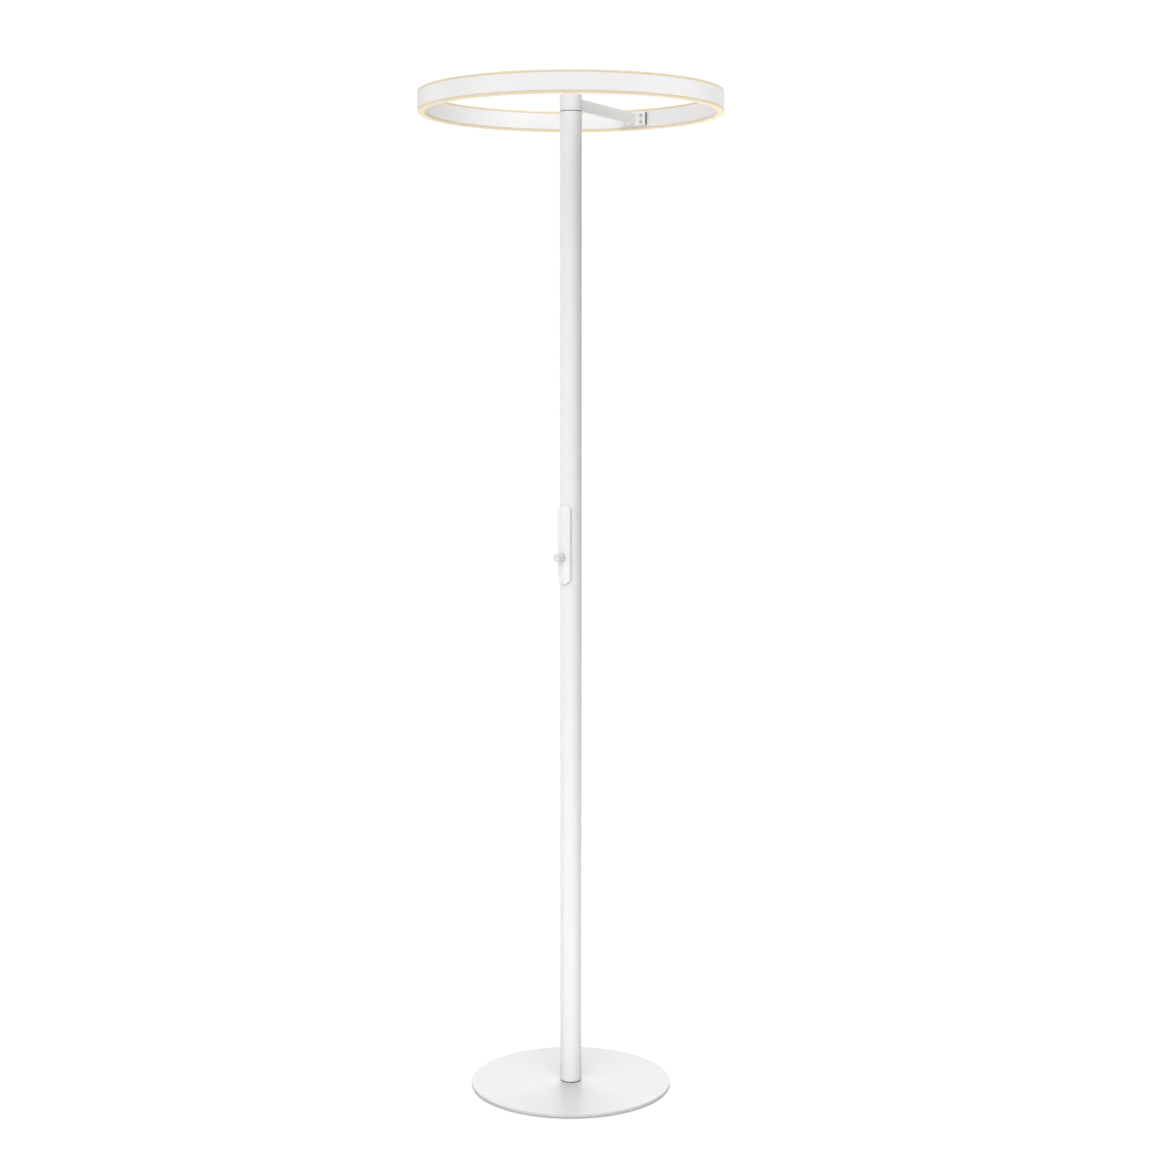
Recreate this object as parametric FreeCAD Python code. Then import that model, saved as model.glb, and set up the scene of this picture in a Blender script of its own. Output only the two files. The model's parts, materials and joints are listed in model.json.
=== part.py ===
import FreeCAD
import Part
import os
from math import acos, cos, degrees, radians, sin

Vector = FreeCAD.Vector
ORIGIN = Vector(0, 0, 0)
ACROSS = Vector(1, 0, 0)
BACK = Vector(0, 1, 0)
UP = Vector(0, 0, 1)

# An LED floor lamp: a flat round base, a slim pole with a dimmer knob, and a level light ring held by an arm.
# The origin is on the floor under the pole. +Z is up and +Y is the back, where the arm meets the ring.
# Lengths are in millimetres and angles in degrees.

# Clearances
running_gap = 0.05
seat_gap = 0.1
free_gap = 0.3
overrun = 3.0

# Whole lamp
lamp_height = 1800.0

# Base disc and floor pad
base_radius = 183.0
base_thickness = 5.0
base_edge_round = 0.8
pad_radius = 177.0
pad_thickness = 1.4
pad_hole_radius = 30.0

# Screws from under the base into the plug in the pole's foot
base_screw_count = 3
base_screw_circle_radius = 11.0
base_screw_radius = 3.0
base_screw_head_radius = 5.8
base_screw_head_height = 2.8
base_screw_bite = 22.0
base_screw_socket = 4.0
base_screw_socket_depth = 2.2

# Pole, its plug and its gasket
pole_radius = 19.5
pole_wall = 1.5
pole_edge = 0.6
plug_height = 42.0
plug_chamfer = 1.5
gasket_thickness = 1.6
gasket_inset = 0.6

# Cord inlet at the back of the pole
inlet_height = 82.0
inlet_bore_radius = 3.5
inlet_stem_radius = 5.0
inlet_flange_radius = 7.0
inlet_flange_proud = 3.0
inlet_flange_round = 0.8
inlet_nut_flats = 14.0
inlet_nut_thickness = 3.0
inlet_stem_past_nut = 1.0

# Mains terminal on top of the plug
terminal_width = 22.0
terminal_depth = 14.0
terminal_height = 16.0
terminal_port_radius = 1.6
terminal_port_spacing = 7.0
terminal_screw_radius = 1.5
terminal_screw_head_radius = 2.8
terminal_screw_head_height = 2.0
terminal_screw_floor = 4.0
terminal_screw_bite = 8.0

# Leads inside the pole
lead_radius = 2.0
lead_offset = 6.0
lead_sway_radius = 300.0
lead_sway_drop = 160.0
lead_bend_radius = 14.0

# Driver, a slim box on two rubber spacers
driver_height = 120.0
driver_length = 200.0
driver_width = 26.0
driver_depth = 20.0
driver_wall = 1.5
driver_boss_radius = 1.8
driver_boss_height = 1.5
driver_boss_margin = 12.0
driver_board_thickness = 1.6
driver_board_margin = 0.7
driver_board_end_margin = 4.0
driver_lip = 1.2
spacer_height = 8.0
spacer_margin = 14.0

# Parts on the driver's board
transformer_width = 16.0
transformer_depth = 11.0
transformer_length = 22.0
capacitor_radius = 5.0
capacitor_depth = 11.0
choke_radius = 6.5
choke_depth = 7.0
choke_hole_radius = 2.5

# Heights of the parts, as shares of the board's length
transformer_share = 0.42
capacitor_shares = (0.62, 0.72, 0.86)
choke_shares = (0.14, 0.26)

# Control housing on the pole
control_angle = 258.0
housing_rise = 22.4
housing_height = 142.0
housing_width = 28.8
housing_proud = 5.0
housing_corner = 10.0
housing_wall = 1.6
housing_edge_round = 1.2
slot_height = 112.0
slot_width = 19.0
slot_corner = 5.0
hook_width = 8.0
hook_thickness = 1.6
hook_lip = 1.3
hook_depth = 1.5

# Dimmer in the housing
knob_height = 978.6
dimmer_size = 14.0
dimmer_depth = 9.0
dimmer_wall = 1.0
dimmer_chamber_radius = 5.0
dimmer_plate_size = 12.0
dimmer_plate_thickness = 1.0
dimmer_tab_width = 1.2
dimmer_tab_thickness = 0.6
dimmer_tab_length = 6.0
dimmer_tab_spacing = 4.0
bushing_radius = 3.5
bushing_length = 7.0
boss_radius = 8.0
boss_inset = 2.5
flat_radius = 6.2
flat_depth = 0.6
washer_radius = 5.6
washer_thickness = 0.5
nut_flats = 10.0
nut_thickness = 2.2

# Push switch in the dimmer
push_travel = 1.0
plunger_radius = 4.7
plunger_length = 3.0
tail_radius = 2.0
tail_length = 1.8
spring_wire_radius = 0.3
spring_radius = 3.1
spring_turns = 3

# Knob and its shaft
shaft_radius = 3.0
shaft_flat = 2.5
shaft_chamfer = 0.5
knob_radius = 7.15
knob_length = 15.5
knob_edge = 0.7
knob_recess_radius = 6.1
knob_recess_depth = 4.6
knob_end_wall = 2.0
knob_screw_radius = 1.5
knob_screw_back = 7.0
knob_screw_socket = 1.5
knob_screw_socket_depth = 1.4

# Control board and its connector
board_width = 17.0
board_length = 62.0
board_thickness = 1.6
board_seat_radius = 19.1
board_rise = 11.0
board_screw_margin = 6.0
board_screw_radius = 1.0
board_screw_head_radius = 2.0
board_screw_head_height = 1.3
board_screw_bite = 2.5
board_post_radius = 2.6
connector_width = 10.0
connector_height = 12.0
connector_reach = 14.0
connector_rise = 12.0

# Head cap and the spigot that joins it to the pole
cap_height = 28.7
cap_wall = 2.0
cap_edge = 0.8
cap_lip = 0.4
seam_height = 1.0
seam_inset = 0.8
spigot_depth = 50.0
spigot_rise = 21.0
spigot_bore_radius = 13.0
spigot_notch_width = 13.0
spigot_notch_rise = 3.0
head_screw_angle = 120.0
head_screw_radius = 2.0
head_screw_length = 5.0
head_screw_sunk = 0.3
head_screw_drop = 16.0
head_screw_rise = 14.0
head_screw_socket = 2.0
head_screw_socket_depth = 2.0

# Arm and its flange
arm_width = 10.0
arm_height = 21.0
arm_wall = 1.5
arm_edge_round = 1.0
flange_width = 50.0
flange_height = 24.4
flange_thickness = 8.9
flange_pocket_depth = 5.0
flange_corner = 1.5
flange_screw_reach = 17.0
flange_screw_rise = 6.2
flange_screw_radius = 2.0
flange_screw_head_radius = 3.5
flange_screw_head_height = 2.2
flange_screw_socket = 2.5
flange_screw_socket_depth = 1.4
flange_screw_tip = 0.3

# Light ring, an extruded section rolled into a circle
ring_radius = 270.2
ring_depth = 13.3
band_height = 28.8
ring_wall = 1.6
ring_web = 1.6
ring_seam_width = 0.3
ring_seam_reach = 8.0
groove_drop = 2.6
groove_half_height = 0.6
groove_depth = 0.45

# Opal diffusers that snap into the ring
diffuser_rise = 4.6
diffuser_inset = 0.4
diffuser_wall = 1.2
diffuser_round = 1.6
leg_length = 4.0
bead_height = 0.35

# Light strips, chips and the plates inside the ring
strip_width = 8.0
strip_thickness = 0.3
strip_gap_width = 3.0
chip_count = 48
chip_depth = 3.5
chip_width = 2.8
chip_thickness = 0.8
joint_plate_width = 44.0
joint_plate_height = 5.8
joint_plate_thickness = 2.6
feed_width = 8.0
feed_depth = 4.0
feed_drop = 7.5
feed_neck_width = 6.0
feed_neck_depth = 2.0

# Levels and radii worked out from the sizes above
base_bottom = pad_thickness
base_top = base_bottom + base_thickness
pole_bottom = base_top + gasket_thickness
pole_inner_radius = pole_radius - pole_wall
plug_top = base_top + plug_height
terminal_top = plug_top + terminal_height
driver_top = driver_height + driver_length
crown_rise = band_height / 2 + diffuser_rise
band_middle = lamp_height - crown_rise
band_top = band_middle + band_height / 2
cap_top = band_top
cap_bottom = cap_top - cap_height
cap_inner_radius = pole_radius - cap_wall
pole_top = cap_bottom - seam_height
ring_inner_radius = ring_radius - ring_depth
strip_radius = ring_radius - ring_depth / 2
strip_rise = ring_web / 2 + strip_thickness
flange_face = ring_inner_radius - flange_thickness
lead_level = band_middle - flange_screw_rise
feed_face = strip_radius - feed_depth / 2
housing_middle = knob_height + housing_rise
housing_radius = pole_radius + housing_proud
skin_radius = housing_radius - housing_wall
slot_bottom = housing_middle - slot_height / 2
slot_top = housing_middle + slot_height / 2
dimmer_plate_face = housing_radius - boss_inset
dimmer_face = dimmer_plate_face - dimmer_plate_thickness
dimmer_back = dimmer_face - dimmer_depth
chamber_back = dimmer_back + dimmer_wall
chamber_front = dimmer_face - dimmer_wall
plunger_front = chamber_front - running_gap
plunger_back = plunger_front - plunger_length
bushing_end = dimmer_plate_face + bushing_length
washer_face = housing_radius - flat_depth
nut_face = washer_face + washer_thickness
knob_back = housing_radius + push_travel + free_gap
knob_front = knob_back + knob_length
recess_end = knob_back + knob_recess_depth
shaft_end = knob_front - knob_end_wall - seat_gap
board_bottom = knob_height + board_rise
board_top = board_bottom + board_length
board_face = board_seat_radius - board_thickness
connector_bottom = board_bottom + connector_rise
connector_top = connector_bottom + connector_height


def cylinder(radius, low, high, x=0, y=0):
    return Part.makeCylinder(radius, high - low, Vector(x, y, low))


def block(x_low, x_high, y_low, y_high, z_low, z_high):
    corner = Vector(x_low, y_low, z_low)
    return Part.makeBox(x_high - x_low, y_high - y_low, z_high - z_low, corner)


def rod(start, end, radius):
    along = end - start
    return Part.makeCylinder(radius, along.Length, start, along)


def hexagon_bar(start, end, flats):
    """A six-sided bar between two points, such as a nut or the socket of a screw"""
    along = end - start
    side = along.cross(UP)
    if side.Length < running_gap:
        side = along.cross(ACROSS)
    side.normalize()
    first = start + side * (flats / 2 / cos(radians(180 / 6)))
    turn = FreeCAD.Rotation(along, 360 / 6)
    corners = [first]
    for _ in range(6):
        corners.append(start + turn.multVec(corners[-1] - start))
    corners[-1] = first
    return Part.Face(Part.makePolygon(corners)).extrude(along)


def turned(points, angle=360):
    """Turn a closed outline of (radius, height) points about the pole's axis"""
    corners = [Vector(radius, 0, height) for radius, height in points]
    face = Part.Face(Part.makePolygon(corners + corners[:1]))
    return face.revolve(ORIGIN, UP, angle)


def turned_on_knob_axis(points):
    """Turn a closed outline of (distance from the pole's axis, radius) points about the knob's axis"""
    corners = [Vector(distance, 0, knob_height + radius) for distance, radius in points]
    face = Part.Face(Part.makePolygon(corners + corners[:1]))
    return face.revolve(Vector(0, 0, knob_height), ACROSS, 360)


def outward(x_low, x_high, radius, z):
    """A round bar that points straight out of the pole, towards +X"""
    return rod(Vector(x_low, 0, z), Vector(x_high, 0, z), radius)


def oblong(x_low, x_high, width, height, corner, middle):
    """A rounded rectangle seen along X, run from one distance to another"""
    body = block(x_low, x_high, -width / 2, width / 2, middle - height / 2, middle + height / 2)
    long_edges = [edge for edge in body.Edges if edge.BoundBox.XLength > 0 and edge.BoundBox.YLength < seat_gap
                  and edge.BoundBox.ZLength < seat_gap]
    return body.makeFillet(corner, long_edges)


def facing_control(shape):
    """Turn a shape that was built towards +X to where the control is on the pole"""
    return shape.rotated(ORIGIN, UP, control_angle)


def group(shapes):
    return Part.makeCompound(shapes)


def base_screw_places():
    for index in range(base_screw_count):
        angle = radians(control_angle + index * 360 / base_screw_count)
        yield base_screw_circle_radius * cos(angle), base_screw_circle_radius * sin(angle)


# Base


def base_plate():
    plate = cylinder(base_radius, base_bottom, base_top)
    plate = plate.makeFillet(base_edge_round, [rim for rim in plate.Edges if rim.isClosed()])
    for x, y in base_screw_places():
        head = Part.makeCone(base_screw_head_radius + seat_gap, base_screw_radius + seat_gap,
                             base_screw_head_height, Vector(x, y, base_bottom))
        plate = plate.cut(head)
        plate = plate.cut(cylinder(base_screw_radius + seat_gap, base_bottom, base_top + overrun, x, y))
    return plate


def floor_pad():
    return cylinder(pad_radius, 0, pad_thickness).cut(cylinder(pad_hole_radius, -overrun, base_top))


def base_screws():
    screws = []
    for x, y in base_screw_places():
        head = Part.makeCone(base_screw_head_radius, base_screw_radius, base_screw_head_height,
                             Vector(x, y, base_bottom))
        shank = cylinder(base_screw_radius, base_bottom, base_top + base_screw_bite, x, y)
        socket = hexagon_bar(Vector(x, y, base_bottom), Vector(x, y, base_bottom + base_screw_socket_depth),
                             base_screw_socket)
        screws.append(head.fuse(shank).cut(socket).removeSplitter())
    return group(screws)


# Pole and its foot


def foot_plug():
    radius = pole_inner_radius - running_gap
    plug = turned([(0, base_top), (radius, base_top), (radius, plug_top - plug_chamfer),
                   (radius - plug_chamfer, plug_top), (0, plug_top)])
    for x, y in base_screw_places():
        hole_top = base_top + base_screw_bite + seat_gap
        plug = plug.cut(cylinder(base_screw_radius + running_gap, base_bottom, hole_top, x, y))
    hole_bottom = plug_top - terminal_screw_bite - seat_gap
    return plug.cut(cylinder(terminal_screw_radius + running_gap, hole_bottom, plug_top + overrun))


def foot_gasket():
    outer = cylinder(pole_radius - gasket_inset, base_top, pole_bottom)
    return outer.cut(cylinder(pole_inner_radius, base_bottom, pole_bottom + overrun))


def head_screw_span(level):
    """Tip and outer end of a screw in the head, level and pointing at the pole's axis"""
    angle = radians(head_screw_angle)
    direction = Vector(cos(angle), sin(angle), 0)
    outer = pole_radius - head_screw_sunk
    height = Vector(0, 0, level)
    return direction * (outer - head_screw_length) + height, direction * outer + height


def head_screw_hole(level):
    tip, outer = head_screw_span(level)
    reach = (outer - tip).normalize() * overrun
    return rod(tip - reach, outer + reach, head_screw_radius + running_gap)


def pole_tube():
    tube = turned([
        (pole_inner_radius, pole_bottom),
        (pole_radius - pole_edge, pole_bottom),
        (pole_radius, pole_bottom + pole_edge),
        (pole_radius, pole_top - pole_edge),
        (pole_radius - pole_edge, pole_top),
        (pole_inner_radius, pole_top),
    ])
    slot = oblong(0, pole_radius + overrun, slot_width, slot_height, slot_corner, housing_middle)
    tube = tube.cut(facing_control(slot))
    inlet_start = Vector(0, 0, inlet_height)
    inlet_end = Vector(0, pole_radius + overrun, inlet_height)
    tube = tube.cut(rod(inlet_start, inlet_end, inlet_stem_radius + seat_gap))
    return tube.cut(head_screw_hole(pole_top - head_screw_drop))


def inlet_nut_outer_face():
    corner_radius = inlet_nut_flats / 2 / cos(radians(180 / 6))
    reach = pole_inner_radius - seat_gap
    return (reach ** 2 - corner_radius ** 2) ** 0.5


def inlet_stem_end():
    return inlet_nut_outer_face() - inlet_nut_thickness - inlet_stem_past_nut


def cord_inlet_bush():
    outer_face = pole_radius + inlet_flange_proud
    start = Vector(0, inlet_stem_end(), inlet_height)
    end = Vector(0, outer_face, inlet_height)
    flange = rod(Vector(0, pole_inner_radius, inlet_height), end, inlet_flange_radius)
    rim = [edge for edge in flange.Edges if edge.BoundBox.YMin > outer_face - seat_gap]
    flange = flange.makeFillet(inlet_flange_round, rim)
    flange = flange.cut(cylinder(pole_radius + running_gap, 0, lamp_height))
    bush = flange.fuse(rod(start, end - BACK * inlet_flange_round, inlet_stem_radius))
    reach = BACK * overrun
    return bush.cut(rod(start - reach, end + reach, inlet_bore_radius)).removeSplitter()


def cord_inlet_nut():
    outer = inlet_nut_outer_face()
    start = Vector(0, outer - inlet_nut_thickness, inlet_height)
    end = Vector(0, outer, inlet_height)
    reach = BACK * overrun
    hole = rod(start - reach, end + reach, inlet_stem_radius + running_gap)
    return hexagon_bar(start, end, inlet_nut_flats).cut(hole)


# Wiring in the pole


def terminal_block():
    body = block(-terminal_depth / 2, terminal_depth / 2, -terminal_width / 2, terminal_width / 2,
                 plug_top, terminal_top)
    for side in (-1, 0, 1):
        y = side * terminal_port_spacing
        level = plug_top + terminal_screw_floor / 2
        port_start = Vector(terminal_depth / 2 - terminal_screw_floor, y, level)
        port_end = Vector(terminal_depth / 2 + overrun, y, level)
        body = body.cut(rod(port_start, port_end, terminal_port_radius))
    body = body.cut(cylinder(terminal_screw_radius + seat_gap, base_top, terminal_top + overrun))
    pocket_floor = plug_top + terminal_screw_floor
    return body.cut(cylinder(terminal_screw_head_radius + seat_gap, pocket_floor, terminal_top + overrun))


def terminal_screw():
    seat = plug_top + terminal_screw_floor
    shank = cylinder(terminal_screw_radius, plug_top - terminal_screw_bite, seat)
    return shank.fuse(cylinder(terminal_screw_head_radius, seat, seat + terminal_screw_head_height))


def line(start, end):
    return Part.LineSegment(start, end).toShape()


def arc(start, middle, end):
    return Part.Arc(start, middle, end).toShape()


def round_bar(edges, radius):
    """A round lead or wire along a path of straight runs and arcs"""
    path = Part.Wire(edges)
    start = edges[0].valueAt(edges[0].FirstParameter)
    along = edges[0].tangentAt(edges[0].FirstParameter)
    section = Part.Wire([Part.makeCircle(radius, start, along)])
    return path.makePipeShell([section], True, False)


def lead_place(distance, height):
    """A point in the pole, at a distance from its axis on the side of the control"""
    angle = radians(control_angle)
    return Vector(distance * cos(angle), distance * sin(angle), height)


def straight_lead(low, high):
    return round_bar([line(lead_place(lead_offset, low), lead_place(lead_offset, high))], lead_radius)


def mains_lead():
    return straight_lead(terminal_top, driver_height)


def control_lead():
    return straight_lead(driver_top, connector_bottom)


def head_lead():
    """Up the pole, over to its axis in a long sway, round into the arm and along it to the ring"""
    sway = acos(1 - lead_offset / 2 / lead_sway_radius)
    sway_top = pole_top - lead_sway_drop
    sway_bottom = sway_top - 2 * lead_sway_radius * sin(sway)

    def low_arc(angle):
        shift = lead_sway_radius * (1 - cos(angle))
        return lead_place(lead_offset - shift, sway_bottom + lead_sway_radius * sin(angle))

    def high_arc(angle):
        shift = lead_sway_radius * (1 - cos(angle))
        return lead_place(shift, sway_top - lead_sway_radius * sin(angle))

    bend_start = Vector(0, 0, lead_level - lead_bend_radius)
    bend_middle = Vector(0, lead_bend_radius * (1 - cos(radians(45))),
                         bend_start.z + lead_bend_radius * sin(radians(45)))
    bend_end = Vector(0, lead_bend_radius, lead_level)
    route = [
        line(lead_place(lead_offset, connector_top), low_arc(0)),
        arc(low_arc(0), low_arc(sway / 2), low_arc(sway)),
        arc(high_arc(sway), high_arc(sway / 2), high_arc(0)),
        line(high_arc(0), bend_start),
        arc(bend_start, bend_middle, bend_end),
        line(bend_end, Vector(0, feed_face, lead_level)),
    ]
    return round_bar(route, lead_radius)


# Driver


def driver_box(margin, x_low, x_high):
    half_width = driver_width / 2 - margin
    return block(x_low, x_high, -half_width, half_width, driver_height + margin, driver_top - margin)


driver_rim = driver_depth / 2 - driver_wall
driver_floor = driver_wall - driver_depth / 2
driver_board_back = driver_floor + driver_boss_height
driver_board_face = driver_board_back + driver_board_thickness


def driver_case():
    case = driver_box(0, -driver_depth / 2, driver_rim)
    case = case.cut(driver_box(driver_wall, driver_floor, driver_rim + overrun))
    for side in (-1, 1):
        y = side * (driver_width / 2 - driver_wall - driver_boss_radius - driver_board_margin)
        for z in (driver_height + driver_boss_margin, driver_top - driver_boss_margin):
            foot = Vector(-driver_depth / 2 + driver_wall / 2, y, z)
            case = case.fuse(rod(foot, Vector(driver_board_back, y, z), driver_boss_radius))
    return case.removeSplitter()


def driver_lid():
    plate = driver_box(0, driver_rim, driver_depth / 2)
    lip = driver_box(driver_wall + seat_gap, driver_rim - driver_lip, driver_rim + driver_wall / 2)
    inside = driver_box(driver_wall + seat_gap + driver_lip, driver_rim - overrun, driver_rim)
    return plate.fuse(lip.cut(inside)).removeSplitter()


def driver_board_ends():
    inset = driver_wall + driver_board_end_margin
    return driver_height + inset, driver_top - inset


def driver_board():
    half_width = driver_width / 2 - driver_wall - driver_board_margin
    low, high = driver_board_ends()
    return block(driver_board_back, driver_board_face, -half_width, half_width, low, high)


def driver_parts():
    low, high = driver_board_ends()
    length = high - low
    middle = low + transformer_share * length
    parts = [block(driver_board_face, driver_board_face + transformer_depth,
                   -transformer_width / 2, transformer_width / 2,
                   middle - transformer_length / 2, middle + transformer_length / 2)]
    for share in capacitor_shares:
        z = low + share * length
        parts.append(outward(driver_board_face, driver_board_face + capacitor_depth, capacitor_radius, z))
    for share in choke_shares:
        z = low + share * length
        choke = outward(driver_board_face, driver_board_face + choke_depth, choke_radius, z)
        parts.append(choke.cut(outward(driver_board_back, driver_depth, choke_hole_radius, z)))
    return group(parts)


def driver_spacers():
    spacers = []
    for low in (driver_height + spacer_margin, driver_top - spacer_margin - spacer_height):
        disc = cylinder(pole_inner_radius - seat_gap, low, low + spacer_height)
        half_depth = driver_depth / 2 + seat_gap
        half_width = driver_width / 2 + seat_gap
        window = block(-half_depth, half_depth, -half_width, half_width,
                       low - overrun, low + spacer_height + overrun)
        spacers.append(disc.cut(window))
    return group(spacers)


# Control housing and board


def board_screw_levels():
    return board_bottom + board_screw_margin, board_top - board_screw_margin


def control_housing():
    outer = oblong(0, housing_radius + overrun, housing_width, housing_height,
                   housing_corner, housing_middle)
    outer = outer.common(cylinder(housing_radius, 0, lamp_height))
    outer = outer.cut(cylinder(pole_radius + running_gap, 0, lamp_height))
    face_rims = []
    for edge in outer.Edges:
        middle = edge.valueAt((edge.FirstParameter + edge.LastParameter) / 2)
        if abs((middle.x ** 2 + middle.y ** 2) ** 0.5 - housing_radius) < running_gap:
            face_rims.append(edge)
    outer = outer.makeFillet(housing_edge_round, face_rims)
    cavity = oblong(0, housing_radius, housing_width - 2 * housing_wall, housing_height - 2 * housing_wall,
                    housing_corner - housing_wall, housing_middle)
    housing = outer.cut(cavity.common(cylinder(skin_radius, 0, lamp_height)))
    inside_skin = skin_radius + housing_wall / 2
    housing = housing.fuse(outward(dimmer_plate_face, washer_face, boss_radius, knob_height))
    for level in board_screw_levels():
        housing = housing.fuse(outward(board_seat_radius, inside_skin, board_post_radius, level))
    for side in (-1, 1):
        slot_end = housing_middle + side * slot_height / 2
        stem_outer = slot_end - side * seat_gap
        stem_inner = stem_outer - side * hook_thickness
        lip_end = slot_end + side * hook_lip
        lip_top = ((pole_inner_radius - seat_gap) ** 2 - (hook_width / 2) ** 2) ** 0.5
        stem = block(lip_top - hook_depth, inside_skin, -hook_width / 2, hook_width / 2,
                     min(stem_outer, stem_inner), max(stem_outer, stem_inner))
        lip = block(lip_top - hook_depth, lip_top, -hook_width / 2, hook_width / 2,
                    min(stem_inner, lip_end), max(stem_inner, lip_end))
        housing = housing.fuse(stem).fuse(lip)
    housing = housing.cut(outward(washer_face, housing_radius + overrun, flat_radius, knob_height))
    housing = housing.cut(outward(0, housing_radius + overrun, bushing_radius + seat_gap, knob_height))
    for level in board_screw_levels():
        hole_end = board_seat_radius + board_screw_bite + seat_gap
        housing = housing.cut(outward(0, hole_end, board_screw_radius + running_gap, level))
    return housing.removeSplitter()


def control_board():
    board = block(board_face, board_seat_radius, -board_width / 2, board_width / 2, board_bottom, board_top)
    for level in board_screw_levels():
        board = board.cut(outward(0, board_seat_radius + overrun, board_screw_radius + seat_gap, level))
    return board


def control_board_screws():
    screws = []
    for level in board_screw_levels():
        shank = outward(board_face - board_screw_head_height, board_seat_radius + board_screw_bite,
                        board_screw_radius, level)
        head = outward(board_face - board_screw_head_height, board_face, board_screw_head_radius, level)
        screws.append(shank.fuse(head).removeSplitter())
    return group(screws)


def board_connector():
    return block(board_face - connector_reach, board_face, -connector_width / 2, connector_width / 2,
                 connector_bottom, connector_top)


# Dimmer, its push switch and its knob


def dimmer_case():
    half = dimmer_size / 2
    case = block(dimmer_back, dimmer_face, -half, half, knob_height - half, knob_height + half)
    case = case.cut(outward(chamber_back, chamber_front, dimmer_chamber_radius, knob_height))
    case = case.cut(outward(chamber_front - running_gap, dimmer_face + overrun,
                            shaft_radius + seat_gap, knob_height))
    for side in (-1, 0, 1):
        y = side * dimmer_tab_spacing
        tab = block(board_face - dimmer_tab_thickness, board_face, y - dimmer_tab_width / 2,
                    y + dimmer_tab_width / 2, knob_height + half - dimmer_wall,
                    knob_height + half + dimmer_tab_length)
        case = case.fuse(tab)
    return case.removeSplitter()


def dimmer_bushing():
    half = dimmer_plate_size / 2
    plate = block(dimmer_face, dimmer_plate_face, -half, half, knob_height - half, knob_height + half)
    bushing = plate.fuse(outward(dimmer_face, bushing_end, bushing_radius, knob_height))
    return bushing.cut(outward(0, bushing_end + overrun, shaft_radius + running_gap, knob_height))


def dimmer_washer():
    washer = outward(washer_face, nut_face, washer_radius, knob_height)
    return washer.cut(outward(0, knob_front, bushing_radius + seat_gap, knob_height))


def dimmer_nut():
    back = Vector(nut_face, 0, knob_height)
    nut = hexagon_bar(back, back + ACROSS * nut_thickness, nut_flats)
    return nut.cut(outward(0, knob_front, bushing_radius + running_gap, knob_height))


def switch_plunger():
    plunger = outward(plunger_back, plunger_front, plunger_radius, knob_height)
    return plunger.cut(outward(plunger_front - tail_length - seat_gap, knob_front, tail_radius + running_gap,
                               knob_height))


def return_spring():
    """A coil between the switch's back wall and the plunger, in arcs of a quarter turn"""
    low = chamber_back + spring_wire_radius + running_gap
    high = plunger_back - spring_wire_radius - running_gap

    def place(quarters):
        angle = radians(90 * quarters)
        distance = low + (high - low) * quarters / (4 * spring_turns)
        return Vector(distance, spring_radius * cos(angle), knob_height + spring_radius * sin(angle))

    turns = [arc(place(step), place(step + 1 / 2), place(step + 1)) for step in range(4 * spring_turns)]
    return round_bar(turns, spring_wire_radius)


def dimmer_shaft():
    shoulder = plunger_front + seat_gap
    shaft = turned_on_knob_axis([
        (plunger_front - tail_length, 0),
        (plunger_front - tail_length, tail_radius),
        (shoulder, tail_radius),
        (shoulder, shaft_radius),
        (shaft_end - shaft_chamfer, shaft_radius),
        (shaft_end, shaft_radius - shaft_chamfer),
        (shaft_end, 0),
    ])
    flat = block(recess_end, knob_front, -knob_radius, knob_radius, knob_height - knob_radius,
                 knob_height - shaft_flat)
    return shaft.cut(flat)


def knob_screw_place(depth):
    return Vector(knob_front - knob_screw_back, 0, knob_height - depth)


def dimmer_knob():
    bore_radius = shaft_radius + running_gap
    bore_end = knob_front - knob_end_wall
    knob = turned_on_knob_axis([
        (knob_back, knob_recess_radius),
        (knob_back, knob_radius),
        (knob_front - knob_edge, knob_radius),
        (knob_front, knob_radius - knob_edge),
        (knob_front, 0),
        (bore_end, 0),
        (bore_end, bore_radius),
        (recess_end, bore_radius),
        (recess_end, knob_recess_radius),
    ])
    screw_hole = rod(knob_screw_place(0), knob_screw_place(knob_radius + overrun),
                     knob_screw_radius + running_gap)
    return knob.cut(screw_hole)


def knob_grub_screw():
    outer = knob_screw_place(knob_radius - seat_gap)
    screw = rod(knob_screw_place(shaft_flat + running_gap), outer, knob_screw_radius)
    return screw.cut(hexagon_bar(outer, outer + UP * knob_screw_socket_depth, knob_screw_socket))


# Head


def head_spigot():
    bottom = pole_top - spigot_depth
    top = cap_bottom + spigot_rise
    lower = pole_inner_radius - running_gap
    upper = cap_inner_radius - running_gap
    collar = pole_radius - seam_inset
    spigot = turned([
        (spigot_bore_radius, bottom),
        (lower, bottom),
        (lower, pole_top),
        (collar, pole_top),
        (collar, cap_bottom),
        (upper, cap_bottom),
        (upper, top),
        (spigot_bore_radius, top),
    ])
    notch = block(-spigot_notch_width / 2, spigot_notch_width / 2, 0, pole_radius,
                  cap_bottom + spigot_notch_rise, top + overrun)
    spigot = spigot.cut(notch)
    for level in (pole_top - head_screw_drop, cap_bottom + head_screw_rise):
        spigot = spigot.cut(head_screw_hole(level))
    return spigot


def head_cap():
    cap = turned([
        (cap_inner_radius, cap_bottom),
        (pole_radius - cap_lip, cap_bottom),
        (pole_radius, cap_bottom + cap_lip),
        (pole_radius, cap_top - cap_edge),
        (pole_radius - cap_edge, cap_top),
        (0, cap_top),
        (0, cap_top - cap_wall),
        (cap_inner_radius, cap_top - cap_wall),
    ])
    cap = cap.cut(arm_outline(seat_gap, 0, pole_radius + overrun))
    return cap.cut(head_screw_hole(cap_bottom + head_screw_rise))


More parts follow.
